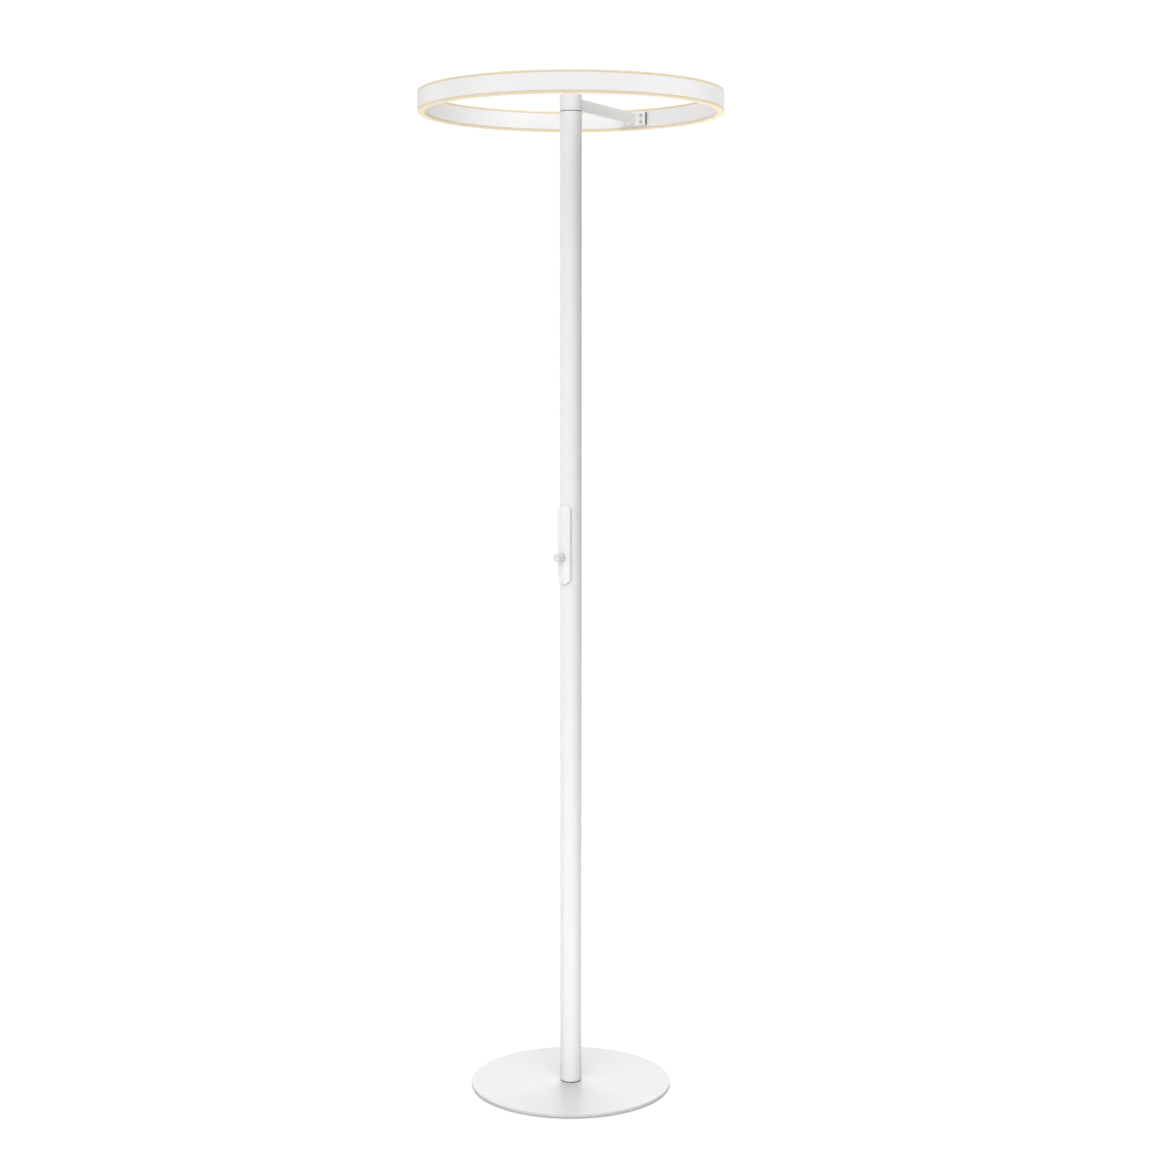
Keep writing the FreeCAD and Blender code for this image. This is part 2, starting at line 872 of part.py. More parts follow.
def head_grub_screws():
    screws = []
    for level in (pole_top - head_screw_drop, cap_bottom + head_screw_rise):
        tip, outer = head_screw_span(level)
        inward = (tip - outer).normalize()
        socket = hexagon_bar(outer, outer + inward * head_screw_socket_depth, head_screw_socket)
        screws.append(rod(tip, outer, head_screw_radius).cut(socket))
    return group(screws)


def arm_outline(margin, start, end):
    """The arm's rounded outside, grown or shrunk by a margin and run backwards from start to end"""
    half_width = arm_width / 2 + margin
    half_height = arm_height / 2 + margin
    body = block(-half_width, half_width, start, end, band_middle - half_height, band_middle + half_height)
    long_edges = [edge for edge in body.Edges if edge.BoundBox.XLength < seat_gap
                  and edge.BoundBox.ZLength < seat_gap]
    return body.makeFillet(arm_edge_round, long_edges)


def support_arm():
    start = cap_inner_radius + seat_gap
    end = flange_face + flange_pocket_depth - seat_gap
    half_width = arm_width / 2 - arm_wall
    half_height = arm_height / 2 - arm_wall
    inside = block(-half_width, half_width, 0, ring_radius, band_middle - half_height, band_middle + half_height)
    return arm_outline(0, start, end).cut(inside)


def flange_screw_places():
    for side in (-1, 1):
        for rise in (-1, 1):
            yield side * flange_screw_reach, band_middle + rise * flange_screw_rise


def backward_hole(x, z, radius):
    """A hole that runs from the flange's face through the ring's inner wall"""
    start = Vector(x, flange_face - overrun, z)
    return rod(start, Vector(x, strip_radius, z), radius)


def arm_flange():
    half_height = flange_height / 2
    body = block(-flange_width / 2, flange_width / 2, flange_face, ring_radius,
                 band_middle - half_height, band_middle + half_height)
    corners = [edge for edge in body.Edges if edge.BoundBox.XLength < seat_gap
               and edge.BoundBox.ZLength < seat_gap]
    body = body.makeFillet(flange_corner, corners)
    body = body.common(cylinder(ring_inner_radius - seat_gap, 0, lamp_height))
    body = body.cut(arm_outline(seat_gap, 0, flange_face + flange_pocket_depth))
    for x, z in flange_screw_places():
        body = body.cut(backward_hole(x, z, flange_screw_radius + seat_gap))
    return body.cut(backward_hole(0, lead_level, lead_radius + free_gap))


def joint_plate_inner_radius():
    return ring_inner_radius + ring_wall + running_gap


def flange_screws():
    plate_outer = joint_plate_inner_radius() + joint_plate_thickness
    tip_depth = (plate_outer ** 2 - flange_screw_reach ** 2) ** 0.5 + flange_screw_tip
    screws = []
    for x, z in flange_screw_places():
        seat = Vector(x, flange_face, z)
        head_top = seat - BACK * flange_screw_head_height
        screw = rod(head_top, seat, flange_screw_head_radius)
        screw = screw.fuse(rod(seat, Vector(x, tip_depth, z), flange_screw_radius))
        socket_end = head_top + BACK * flange_screw_socket_depth
        screws.append(screw.cut(hexagon_bar(head_top, socket_end, flange_screw_socket)))
    return group(screws)


# Light ring


def rolled(points, seam_width):
    """Turn a section into a ring whose two ends meet behind the flange"""
    seam_angle = degrees(seam_width / ring_inner_radius)
    seam_middle = 90 + degrees(ring_seam_reach / ring_inner_radius)
    body = turned(points, 360 - seam_angle)
    return body.rotated(ORIGIN, UP, seam_middle + seam_angle / 2)


def groove_points(wall_radius, outward_side, height_side):
    """The snap groove in one wall's inner face, from the rim towards the web"""
    level = band_middle + height_side * (band_height / 2 - groove_drop)
    half = height_side * groove_half_height
    return [
        (wall_radius, level + half),
        (wall_radius + outward_side * groove_depth, level),
        (wall_radius, level - half),
    ]


def ring_profile():
    rim_radius = ring_radius - ring_wall
    inner_rim_radius = ring_inner_radius + ring_wall
    points = []
    for side in (1, -1):
        rim = band_middle + side * band_height / 2
        web = band_middle + side * ring_web / 2
        across = [(ring_radius, rim), (rim_radius, rim)]
        across += groove_points(rim_radius, 1, side)
        across += [(rim_radius, web), (inner_rim_radius, web)]
        across += list(reversed(groove_points(inner_rim_radius, -1, side)))
        across += [(inner_rim_radius, rim), (ring_inner_radius, rim)]
        points += across if side > 0 else list(reversed(across))
    profile = rolled(points, ring_seam_width)
    for x, z in flange_screw_places():
        profile = profile.cut(backward_hole(x, z, flange_screw_radius + seat_gap))
    profile = profile.cut(backward_hole(0, lead_level, lead_radius + free_gap))
    return profile.cut(feed_slot())


def diffuser(side):
    """A hollow opal strip with two legs that snap into the ring's grooves, above it or below it"""
    rim = band_middle + side * band_height / 2
    crown = rim + side * diffuser_rise
    ceiling = crown - side * diffuser_wall
    leg_end = rim - side * leg_length
    bead = rim - side * groove_drop
    bead_half = side * groove_half_height
    outside = ring_radius - diffuser_inset
    inside = ring_inner_radius + diffuser_inset
    leg_outside = ring_radius - ring_wall - seat_gap
    leg_inside = ring_inner_radius + ring_wall + seat_gap
    outline = [
        (outside, crown),
        (outside, rim),
        (leg_outside, rim),
        (leg_outside, bead + bead_half),
        (leg_outside + bead_height, bead),
        (leg_outside, bead - bead_half),
        (leg_outside, leg_end),
        (leg_outside - diffuser_wall, leg_end),
        (leg_outside - diffuser_wall, ceiling),
        (leg_inside + diffuser_wall, ceiling),
        (leg_inside + diffuser_wall, leg_end),
        (leg_inside, leg_end),
        (leg_inside, bead - bead_half),
        (leg_inside - bead_height, bead),
        (leg_inside, bead + bead_half),
        (leg_inside, rim),
        (inside, rim),
        (inside, crown),
    ]
    body = rolled(outline, ring_seam_width)
    crown_rims = [edge for edge in body.Edges if edge.Length > ring_inner_radius
                  and abs(edge.BoundBox.Center.z - crown) < seat_gap]
    return body.makeFillet(diffuser_round, crown_rims)


def upper_diffuser():
    return diffuser(1)


def lower_diffuser():
    return diffuser(-1)


def feed_slot():
    """The slot in the web and strips that the feed's neck goes through"""
    half_width = feed_neck_width / 2 + seat_gap
    half_depth = feed_neck_depth / 2 + seat_gap
    return block(-half_width, half_width, strip_radius - half_depth, strip_radius + half_depth,
                 band_middle - strip_rise - overrun, band_middle + strip_rise + overrun)


def led_strip(side):
    web = band_middle + side * ring_web / 2
    face = web + side * strip_thickness
    inner = strip_radius - strip_width / 2
    outer = strip_radius + strip_width / 2
    return rolled([(inner, web), (outer, web), (outer, face), (inner, face)], strip_gap_width).cut(feed_slot())


def upper_led_strip():
    return led_strip(1)


def lower_led_strip():
    return led_strip(-1)


def led_chips(side):
    strip_face = band_middle + side * strip_rise
    chip_face = strip_face + side * chip_thickness
    chip = block(strip_radius - chip_depth / 2, strip_radius + chip_depth / 2, -chip_width / 2, chip_width / 2,
                 min(strip_face, chip_face), max(strip_face, chip_face))
    step = 360 / chip_count
    return group([chip.rotated(ORIGIN, UP, step * (index + 1 / 2)) for index in range(chip_count)])


def upper_led_chips():
    return led_chips(1)


def lower_led_chips():
    return led_chips(-1)


def ring_joint_plates():
    inner = joint_plate_inner_radius()
    outer = inner + joint_plate_thickness
    spread = degrees(joint_plate_width / inner)
    plates = []
    for side in (-1, 1):
        level = band_middle + side * flange_screw_rise
        low = level - joint_plate_height / 2
        high = level + joint_plate_height / 2
        plate = turned([(inner, low), (outer, low), (outer, high), (inner, high)], spread)
        plate = plate.rotated(ORIGIN, UP, 90 - spread / 2)
        for x, z in flange_screw_places():
            plate = plate.cut(backward_hole(x, z, flange_screw_radius + running_gap))
        plates.append(plate.cut(backward_hole(0, lead_level, lead_radius + free_gap)))
    return group(plates)


def ring_feed():
    """The plug on the strips: a body under the lower strip and a neck up to the upper one"""
    top = band_middle - strip_rise
    body = block(-feed_width / 2, feed_width / 2, feed_face, feed_face + feed_depth, top - feed_drop, top)
    neck = block(-feed_neck_width / 2, feed_neck_width / 2, strip_radius - feed_neck_depth / 2,
                 strip_radius + feed_neck_depth / 2, top - feed_drop / 2, band_middle + strip_rise)
    return body.fuse(neck)


plain_nodes = [
    base_plate, floor_pad, base_screws,
    foot_plug, foot_gasket, pole_tube, cord_inlet_bush, cord_inlet_nut,
    mains_lead, control_lead, head_lead,
    head_spigot, head_cap, head_grub_screws,
    support_arm, arm_flange, flange_screws,
    ring_profile, upper_diffuser, lower_diffuser,
    upper_led_strip, lower_led_strip, upper_led_chips, lower_led_chips,
    ring_joint_plates, ring_feed,
]

nodes_facing_control = [
    terminal_block, terminal_screw,
    driver_case, driver_lid, driver_board, driver_parts, driver_spacers,
    control_housing, control_board, control_board_screws, board_connector,
    dimmer_case, dimmer_bushing, dimmer_washer, dimmer_nut,
    switch_plunger, return_spring,
    dimmer_shaft, dimmer_knob, knob_grub_screw,
]

os.makedirs("parts", exist_ok=True)
for make in plain_nodes + nodes_facing_control:
    shape = make()
    if make in nodes_facing_control:
        shape = facing_control(shape)
    shape.exportStep(f"parts/{make.__name__}.step")
    print(make.__name__, "solids", len(shape.Solids), "valid", shape.isValid(), "volume", round(shape.Volume, 1))
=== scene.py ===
import json
from math import acos, atan2, cos, hypot, pi, radians, sin, tan

import bmesh
import bpy
from mathutils import Matrix, Vector


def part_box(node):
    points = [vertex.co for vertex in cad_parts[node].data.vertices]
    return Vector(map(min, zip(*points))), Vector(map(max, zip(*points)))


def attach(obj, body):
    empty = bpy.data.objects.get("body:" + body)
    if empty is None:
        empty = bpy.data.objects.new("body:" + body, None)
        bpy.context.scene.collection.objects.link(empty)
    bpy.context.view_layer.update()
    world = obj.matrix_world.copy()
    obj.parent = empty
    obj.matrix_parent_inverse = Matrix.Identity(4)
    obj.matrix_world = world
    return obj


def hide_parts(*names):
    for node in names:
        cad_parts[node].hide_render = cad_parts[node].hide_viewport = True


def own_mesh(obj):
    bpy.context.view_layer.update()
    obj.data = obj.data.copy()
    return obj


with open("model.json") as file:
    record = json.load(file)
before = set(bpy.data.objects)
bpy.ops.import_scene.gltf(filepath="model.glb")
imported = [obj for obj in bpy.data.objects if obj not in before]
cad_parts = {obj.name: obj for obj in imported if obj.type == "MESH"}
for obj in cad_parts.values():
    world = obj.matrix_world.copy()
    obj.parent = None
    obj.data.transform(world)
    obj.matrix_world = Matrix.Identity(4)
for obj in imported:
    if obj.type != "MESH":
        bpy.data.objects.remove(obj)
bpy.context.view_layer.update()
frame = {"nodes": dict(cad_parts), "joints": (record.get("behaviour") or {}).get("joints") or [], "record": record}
nodes = frame["nodes"]
joints = {joint["name"]: joint for joint in frame["joints"]}
dimmer = joints["dimmer_turn"]
scene = bpy.context.scene

# Everything is in metres and radians, in the lamp's own frame
full_turn = 2 * pi
right_angle = pi / 2

# Points nearer than tiny are one, edges shorter than cut_tolerance are taken out after a
# cut, and a cutter runs past the faces that it opens by overrun
tiny = 1e-6
cut_tolerance = 5e-6
overrun = 0.003


# Sizes read from the frame


def reach(node):
    """The largest distance of a node from the pole's axis that stays inside its box"""
    low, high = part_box(node)
    return min(-low.x, -low.y, high.x, high.y)


def distances(node):
    """How far each point of a node lies from the pole's axis"""
    return [hypot(v.co.x, v.co.y) for v in nodes[node].data.vertices]


def level(node):
    """The lowest and highest point of a node"""
    low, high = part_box(node)
    return low.z, high.z


knob_height = dimmer["pos_m"][2]
control_angle = atan2(-dimmer["axis"][1], -dimmer["axis"][0])
control_turn = Matrix.Rotation(control_angle, 4, "Z")
# Turns a piece made upright on the origin onto the knob's axis, facing outwards
knob_turn = (
    control_turn
    @ Matrix.Translation((0, 0, knob_height))
    @ Matrix.Rotation(right_angle, 4, "Y")
)


def knob_points(node):
    """The points of a node as seen upright, along the knob's axis"""
    turn_back = knob_turn.inverted()
    return [turn_back @ v.co for v in nodes[node].data.vertices]


def along_knob(node):
    """The span of a node along the knob's axis, from the pole's axis outwards"""
    heights = [point.z for point in knob_points(node)]
    return min(heights), max(heights)


def around_knob(node):
    """The largest distance of a node from the knob's axis"""
    return max(hypot(*point.xy) for point in knob_points(node))


base_radius = reach("base_plate")
base_bottom, base_top = level("base_plate")
pole_radius = reach("pole_tube")
pole_inner_radius = min(distances("pole_tube"))
pole_bottom, pole_top = level("pole_tube")
cap_bottom, cap_top = level("head_cap")
ring_radius = reach("ring_profile")
ring_inner_radius = min(distances("ring_profile"))
band_bottom, band_top = level("ring_profile")
band_middle = (band_bottom + band_top) / 2
band_half_height = (band_top - band_bottom) / 2
arm_low, arm_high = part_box("support_arm")
arm_half_width = (arm_high.x - arm_low.x) / 2
arm_half_height = (arm_high.z - arm_low.z) / 2
flange_low, flange_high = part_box("arm_flange")
flange_half_width = (flange_high.x - flange_low.x) / 2
flange_half_height = (flange_high.z - flange_low.z) / 2
flange_back = max(distances("arm_flange"))
knob_back, knob_front = along_knob("dimmer_knob")
knob_radius = around_knob("dimmer_knob")

# Fine sizes that the frame's boxes don't give
base_edge_round = 0.0008
base_screw_count = 3
base_screw_circle = 0.011
base_screw_head_radius = 0.0059
base_screw_hole_radius = 0.0031
base_screw_head_height = 0.0028
pole_edge_round = 0.0009
pole_slot_width = 0.019
pole_slot_height = 0.112
pole_slot_corner = 0.005
pole_slot_rise = 0.0224
pole_slot_middle = knob_height + pole_slot_rise
inlet_height = 0.082
inlet_hole_radius = 0.0051
head_screw_angle = radians(120)
head_screw_hole_radius = 0.00205
head_screw_drop = 0.016
head_screw_rise = 0.014
cap_wall = 0.002
cap_edge_round = 0.0009
cap_lip_round = 0.0005
arm_wall = 0.0015
arm_corner = 0.0011
arm_bore_corner = 0.000375
seat_gap = 0.0001
flange_corner = 0.0015
flange_edge_round = 0.0006
flange_pocket = 0.005
flange_screw_reach = 0.017
flange_screw_rise = 0.0062
flange_screw_radius = 0.002
flange_screw_head_radius = 0.0035
flange_screw_dome = 0.0009
flange_screw_tip_round = 0.0005
flange_screw_socket = 0.0025
flange_screw_socket_depth = 0.0014
flange_screw_socket_sides = 6
lead_hole_radius = 0.0023
ring_wall = 0.0016
ring_web = 0.0016
ring_edge_round = 0.0003
ring_seam = 0.0003
ring_seam_reach = 0.008
groove_drop = 0.0026
groove_half_height = 0.0006
groove_depth = 0.00045
feed_slot_width = 0.0062
feed_slot_depth = 0.0022
feed_slot_corner = 0.000275
diffuser_inset = 0.0004
diffuser_wall = 0.0012
diffuser_round = 0.0016
diffuser_leg = 0.004
bead_height = 0.00035
knob_edge_round = 0.0007
knob_back_round = 0.0003
knob_recess_radius = 0.0061
knob_recess_depth = 0.0046
knob_bore_radius = 0.00305
knob_end_wall = 0.002
knob_screw_back = 0.007
knob_screw_hole_radius = 0.00155
spring_wire_radius = 0.0003
spring_turns = 3

# How fine the round shapes are, and where an edge counts as sharp
disc_segments = 288
pole_segments = 160
knob_segments = 128
hole_segments = 48
coil_segments = 48
wire_segments = 12
round_steps = 5
sharp_angle = radians(32)


# Shapes


def rounded(corners):
    """An outline through corners (across, up, radius), with an arc wherever a radius is given"""
    outline = []
    count = len(corners)
    for index, (x, y, radius) in enumerate(corners):
        corner = Vector((x, y))
        if radius == 0:
            outline.append(corner)
            continue
        before = (Vector(corners[index - 1][:2]) - corner).normalized()
        after = (Vector(corners[(index + 1) % count][:2]) - corner).normalized()
        half = acos(max(-1.0, min(1.0, before.dot(after)))) / 2
        centre = corner + (before + after).normalized() * (radius / sin(half))
        start = corner + before * (radius / tan(half)) - centre
        end = corner + after * (radius / tan(half)) - centre
        turn = atan2(start.cross(end), start.dot(end))
        for step in range(round_steps + 1):
            outline.append(centre + Matrix.Rotation(turn * step / round_steps, 2) @ start)
    return outline


def piece_from(name, bm):
    """An object made of a finished bmesh, with its faces turned outwards"""
    bmesh.ops.remove_doubles(bm, verts=bm.verts, dist=tiny)
    bmesh.ops.recalc_face_normals(bm, faces=bm.faces)
    mesh = bpy.data.meshes.new(name)
    bm.to_mesh(mesh)
    bm.free()
    piece = bpy.data.objects.new(name, mesh)
    scene.collection.objects.link(piece)
    return piece


def lathe(name, outline, segments, start=0.0, sweep=full_turn):
    """A closed outline of (radius, height) turned about the Z axis"""
    bm = bmesh.new()
    whole = sweep == full_turn
    rings = []
    for index in range(segments + (0 if whole else 1)):
        angle = start + sweep * index / segments
        rings.append([bm.verts.new((r * cos(angle), r * sin(angle), z)) for r, z in outline])
    following = rings[1:] + rings[:1] if whole else rings[1:]
    for here, there in zip(rings, following):
        for index in range(len(outline)):
            bm.faces.new((here[index - 1], there[index - 1], there[index], here[index]))
    if not whole:
        ends = [bm.faces.new(rings[0]), bm.faces.new(rings[-1])]
        bmesh.ops.triangulate(bm, faces=ends)
    return piece_from(name, bm)


def stacked(name, loops):
    """Closed loops of points joined one to the next, with both ends closed"""
    bm = bmesh.new()
    rows = [[bm.verts.new(point) for point in loop] for loop in loops]
    for here, there in zip(rows, rows[1:]):
        for index in range(len(here)):
            bm.faces.new((here[index - 1], there[index - 1], there[index], here[index]))
    bm.faces.new(rows[0])
    bm.faces.new(rows[-1])
    return piece_from(name, bm)


def bar(start, end, radius, sides=hole_segments):
    """A straight round or many-sided bar, used to cut holes"""
    turn = (end - start).to_track_quat("Z", "Y").to_matrix()
    loops = []
    for middle in (start, end):
        loop = []
        for index in range(sides):
            angle = full_turn * index / sides
            loop.append(middle + turn @ Vector((radius * cos(angle), radius * sin(angle), 0)))
        loops.append(loop)
    return stacked("cutter", loops)


def frame_loop(half_width, half_height, corner, place):
    """A rounded rectangle's points, each turned into a 3-D point by place"""
    corners = [
        (half_width, half_height, corner),
        (-half_width, half_height, corner),
        (-half_width, -half_height, corner),
        (half_width, -half_height, corner),
    ]
    return [place(across, up) for across, up in rounded(corners)]


def subtract(piece, cutters):
    """Cut the cutters out of a piece, with no slivers left, and delete them"""
    for cutter in cutters:
        change = piece.modifiers.new("cut", "BOOLEAN")
        change.operation = "DIFFERENCE"
        change.solver = "EXACT"
        change.object = cutter
    graph = bpy.context.evaluated_depsgraph_get()
    cut_mesh = bpy.data.meshes.new_from_object(piece.evaluated_get(graph))
    piece.modifiers.clear()
    piece.data = cut_mesh
    bm = bmesh.new()
    bm.from_mesh(cut_mesh)
    bmesh.ops.remove_doubles(bm, verts=bm.verts, dist=cut_tolerance)
    bmesh.ops.dissolve_degenerate(bm, dist=cut_tolerance, edges=bm.edges)
    bm.to_mesh(cut_mesh)
    bm.free()
    for cutter in cutters:
        bpy.data.objects.remove(cutter)
    return piece


def dress(piece, slot, body, *replaced, finish=None):
    """Smooth a piece, give it the given finish or else its slot's finish, and let it ride in place of its nodes"""
    piece.data.materials.clear()
    piece.data.materials.append((finish or finishes[slot]).material)
    piece.data.shade_smooth()
    piece.data.set_sharp_from_angle(angle=sharp_angle)
    normals = piece.modifiers.new("normals", "WEIGHTED_NORMAL")
    normals.keep_sharp = True
    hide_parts(*replaced)
    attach(piece, body)


# Materials


def shade(colour, share):
    """A share of a colour, darker below 1 and lighter above it"""
    return tuple(value * share for value in colour)


class Finish:
    """A procedural material, built up on its Principled shader"""

    def __init__(self, name):
        self.material = bpy.data.materials.new(name)
        self.material.use_nodes = True
        self.tree = self.material.node_tree
        self.shader = self.tree.nodes["Principled BSDF"]
        place = self.tree.nodes.new("ShaderNodeTexCoord")
        self.place = place.outputs["Object"]
        self.height = None

    def link(self, source, target):
        """Lead an output into an input"""
        self.tree.links.new(source, target)

    def noise(self, size, detail=2.0, stretch=(1, 1, 1)):
        """Soft noise whose features are about this size in metres"""
        scaled = self.tree.nodes.new("ShaderNodeMapping")
        scaled.inputs["Scale"].default_value = stretch
        self.link(self.place, scaled.inputs["Vector"])
        node = self.tree.nodes.new("ShaderNodeTexNoise")
        node.inputs["Scale"].default_value = 1 / size
        node.inputs["Detail"].default_value = detail
        self.link(scaled.outputs["Vector"], node.inputs["Vector"])
        return node.outputs["Fac"]

    def cells(self, size):
        """Round grains of about this size in metres"""
        node = self.tree.nodes.new("ShaderNodeTexVoronoi")
        node.inputs["Scale"].default_value = 1 / size
        self.link(self.place, node.inputs["Vector"])
        return node.outputs["Distance"]

    def bands(self, size, axis, wander=0.0):
        """Fine lines across an axis, as a lathe or a brush leaves them"""
        node = self.tree.nodes.new("ShaderNodeTexWave")
        node.bands_direction = axis
        node.inputs["Scale"].default_value = 1 / size
        node.inputs["Distortion"].default_value = wander
        node.inputs["Detail"].default_value = 1.0
        self.link(self.place, node.inputs["Vector"])
        return node.outputs["Fac"]

    def spread(self, source, low=0.0, high=1.0, source_low=0.3, source_high=0.7):
        """A source's middle range spread between two values"""
        node = self.tree.nodes.new("ShaderNodeMapRange")
        node.inputs["From Min"].default_value = source_low
        node.inputs["From Max"].default_value = source_high
        node.inputs["To Min"].default_value = low
        node.inputs["To Max"].default_value = high
        self.link(source, node.inputs["Value"])
        return node.outputs["Result"]

    def off_axis(self):
        """The distance from the lamp's axis"""
        flattened = self.tree.nodes.new("ShaderNodeVectorMath")
        flattened.operation = "MULTIPLY"
        flattened.inputs[1].default_value = (1, 1, 0)
        self.link(self.place, flattened.inputs[0])
        distance = self.tree.nodes.new("ShaderNodeVectorMath")
        distance.operation = "LENGTH"
        self.link(flattened.outputs["Vector"], distance.inputs[0])
        return distance.outputs["Value"]

    def off_middle(self, axis, middle=0.0):
        """The distance from a middle along the X, Y or Z axis"""
        parts = self.tree.nodes.new("ShaderNodeSeparateXYZ")
        self.link(self.place, parts.inputs["Vector"])
        offset = self.tree.nodes.new("ShaderNodeMath")
        offset.operation = "SUBTRACT"
        offset.inputs[1].default_value = middle
        self.link(parts.outputs[axis], offset.inputs[0])
        distance = self.tree.nodes.new("ShaderNodeMath")
        distance.operation = "ABSOLUTE"
        self.link(offset.outputs["Value"], distance.inputs[0])
        return distance.outputs["Value"]

    def tones(self, source, dark, light, target="Base Color"):
        """A colour that runs from dark to light with a source"""
        node = self.tree.nodes.new("ShaderNodeMix")
        node.data_type = "RGBA"
        node.inputs["A"].default_value = (*dark, 1)
        node.inputs["B"].default_value = (*light, 1)
        self.link(source, node.inputs["Factor"])
        self.link(node.outputs["Result"], self.shader.inputs[target])

    def clouds(self, colour, size, dark, light):
        """A colour in soft clouds between a dark and a light share of itself"""
        self.tones(self.spread(self.noise(size)), shade(colour, dark), shade(colour, light))

    def darken(self, source, share):
        """The colour so far, darkened to a share of itself where a source is 1"""
        node = self.tree.nodes.new("ShaderNodeMix")
        node.data_type = "RGBA"
        node.blend_type = "MULTIPLY"
        colour = self.shader.inputs["Base Color"]
        self.link(source, node.inputs["Factor"])
        self.link(colour.links[0].from_socket, node.inputs["A"])
        node.inputs["B"].default_value = (share, share, share, 1)
        self.link(node.outputs["Result"], colour)

    def roughness(self, source, low, high):
        """Roughness that runs from low to high over a source's middle range"""
        self.link(self.spread(source, low, high), self.shader.inputs["Roughness"])

    def bump(self, source, depth):
        """Height from a source, added over the bumps before it"""
        node = self.tree.nodes.new("ShaderNodeBump")
        node.inputs["Distance"].default_value = depth
        self.link(source, node.inputs["Height"])
        if self.height:
            self.link(self.height, node.inputs["Normal"])
        self.height = node.outputs["Normal"]
        self.link(self.height, self.shader.inputs["Normal"])


def powder_coat(name, colour, peel_size=0.0016, peel_depth=0.000012, gloss=(0.36, 0.44)):
    """Satin white powder coat with its faint orange peel"""
    finish = Finish(name)
    finish.clouds(colour, size=0.11, dark=0.985, light=1.01)
    finish.roughness(finish.noise(size=0.02), *gloss)
    finish.bump(finish.noise(peel_size, detail=1.0), peel_depth)
    return finish


def base_coat_with_painted_rim_shade(name, colour, specular=0.3, rim_shade_share=0.84):
    """Smoother coat on the base, with painted shade that greys the disc's rim"""
    finish = powder_coat(name, colour, peel_size=0.004, peel_depth=0.000004, gloss=(0.31, 0.34))
    finish.shader.inputs["Specular IOR Level"].default_value = specular
    rim = finish.spread(
        finish.off_axis(),
        source_low=base_radius - base_edge_round,
        source_high=base_radius - base_edge_round / 2,
    )
    # Painted shade: the rim is darkened to a share of the white, for the shade that falls on the disc's edge
    finish.darken(rim, rim_shade_share)
    return finish


def flange_coat_with_painted_side_shade(name, colour, side_shade_share=0.19):
    """Powder coat on the flange, with painted shade that turns its two sides dark grey"""
    finish = powder_coat(name, colour)
    sides = finish.spread(
        finish.off_middle("X"),
        source_low=flange_half_width - flange_edge_round * 3 / 4,
        source_high=flange_half_width - flange_edge_round / 4,
    )
    # Painted shade: both sides of the flange are darkened, for the shade beside the ring's wall
    finish.darken(sides, side_shade_share)
    return finish


def moulded(name, colour, roughness):
    """Moulded plastic with a fine spark-eroded grain"""
    finish = Finish(name)
    finish.clouds(colour, size=0.03, dark=0.97, light=1.02)
    finish.roughness(finish.noise(size=0.008), low=roughness - 0.05, high=roughness + 0.06)
    finish.bump(finish.cells(size=0.0006), depth=0.000008)
    return finish


def worked_metal(name, colour, roughness, line_size, axis):
    """Metal with the fine lines of turning or brushing"""
    finish = Finish(name)
    finish.shader.inputs["Metallic"].default_value = 1.0
    lines = finish.bands(line_size, axis, wander=1.5)
    finish.tones(finish.noise(size=0.004), dark=shade(colour, 0.9), light=shade(colour, 1.06))
    finish.roughness(lines, low=roughness - 0.06, high=roughness + 0.08)
    finish.bump(lines, depth=0.000004)
    finish.bump(finish.noise(size=0.0005), depth=0.000003)
    return finish


def rubber(name):
    """Dark matt rubber with a dusty bloom"""
    finish = Finish(name)
    bloom = finish.spread(finish.noise(size=0.012, detail=3.0))
    finish.tones(bloom, dark=(0.035, 0.035, 0.036), light=(0.075, 0.074, 0.072))
    finish.roughness(finish.noise(size=0.004), low=0.68, high=0.86)
    finish.bump(finish.cells(size=0.0005), depth=0.00002)
    return finish


def lit_opal(name, glow_at_wall=0.16, glow_at_crown=0.36, ior=1.49):
    """Opal acrylic lit from inside, a little dimmer towards the ring's walls"""
    finish = Finish(name)
    cloud = finish.spread(finish.noise(size=0.02, detail=1.0))
    finish.tones(cloud, dark=(0.43, 0.375, 0.265), light=(0.455, 0.40, 0.29))
    finish.tones(cloud, dark=(0.98, 0.82, 0.56), light=(1.0, 0.86, 0.6), target="Emission Color")
    crown_half_height = level("upper_diffuser")[1] - band_middle
    glow = finish.spread(
        finish.off_middle("Z", band_middle),
        low=glow_at_wall,
        high=glow_at_crown,
        source_low=band_half_height,
        source_high=crown_half_height,
    )
    finish.link(glow, finish.shader.inputs["Emission Strength"])
    finish.roughness(finish.noise(size=0.01), low=0.38, high=0.5)
    finish.bump(finish.noise(size=0.0012), depth=0.000006)
    finish.shader.inputs["IOR"].default_value = ior
    return finish


def board(name):
    """Glass-fibre board with copper tracks under green lacquer"""
    finish = Finish(name)
    tracks = finish.bands(size=0.004, axis="Z", wander=6.0)
    copper = finish.spread(tracks, source_low=0.45, source_high=0.6)
    finish.tones(copper, dark=(0.012, 0.09, 0.035), light=(0.03, 0.2, 0.08))
    finish.roughness(finish.noise(size=0.003), low=0.3, high=0.42)
    finish.bump(tracks, depth=0.00003)
    return finish


def electronic_parts(name):
    """Wound and moulded parts, dark with a copper glint"""
    finish = Finish(name)
    glint = finish.spread(finish.noise(size=0.006, detail=3.0))
    finish.tones(glint, dark=(0.02, 0.02, 0.024), light=(0.11, 0.085, 0.06))
    finish.roughness(finish.noise(size=0.002), low=0.32, high=0.55)
    finish.bump(finish.bands(size=0.0009, axis="Z", wander=0.4), depth=0.00004)
    return finish


